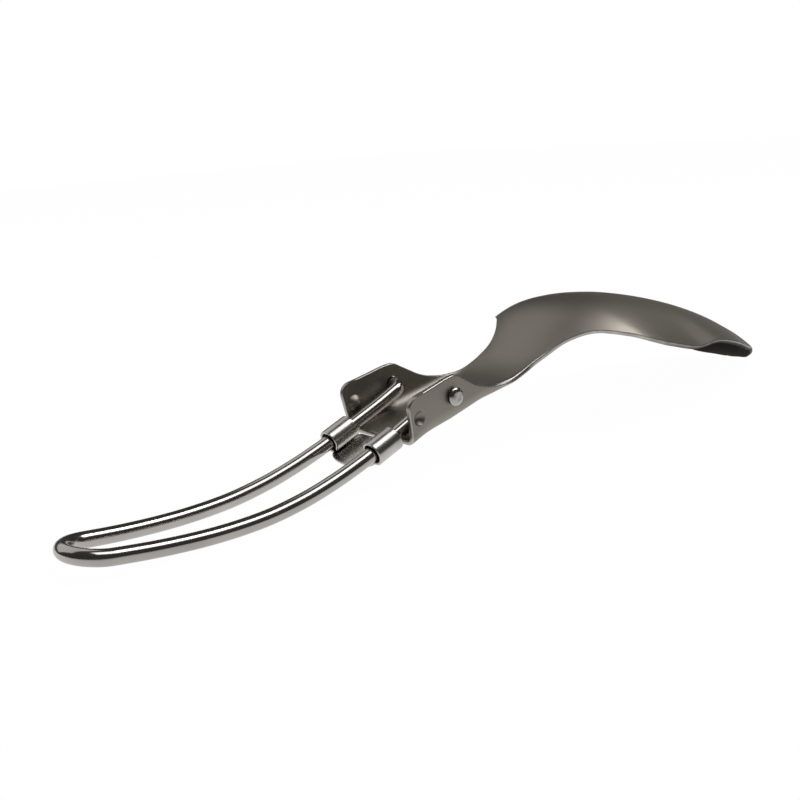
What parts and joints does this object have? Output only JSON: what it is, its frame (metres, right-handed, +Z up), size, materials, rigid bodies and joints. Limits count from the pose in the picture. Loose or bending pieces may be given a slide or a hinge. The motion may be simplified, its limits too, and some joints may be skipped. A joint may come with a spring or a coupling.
{
  "type": "folding spoon",
  "caption": "Folding camp spoon: a deep pointed bowl with an eared neck, a bent wire loop handle that swings over the bowl's back, and a lock that slides on the handle's legs.",
  "frame": {"origin": "on the ground, under the middle of the unfolded spoon's box", "axes": "+X from the handle's loop to the bowl's tip, +Y to the far ear, +Z up; the bowl lies face down"},
  "size_m": [0.1602, 0.039, 0.0226],
  "materials": {
    "sandblasted_titanium": "fine sandblasted titanium, matt warm grey",
    "polished_wire": "polished titanium wire",
    "brushed_lock": "satin titanium sheet"
  },
  "bodies": {
    "head": {"spoon_head": "sandblasted_titanium"},
    "handle": {"wire_handle": "polished_wire"},
    "lock": {"lock_slider": "brushed_lock"}
  },
  "joints": [
    {"name": "handle_fold", "type": "hinge", "parent": "head", "child": "handle", "pos_m": [-0.01321, 0, 0.01231], "axis": [0, 1, 0], "range_deg": [0, 178]},
    {"name": "lock_slide", "type": "slide", "parent": "handle", "child": "lock", "axis": [-0.9416, 0, -0.3368], "range_m": [0, 0.005]}
  ]
}
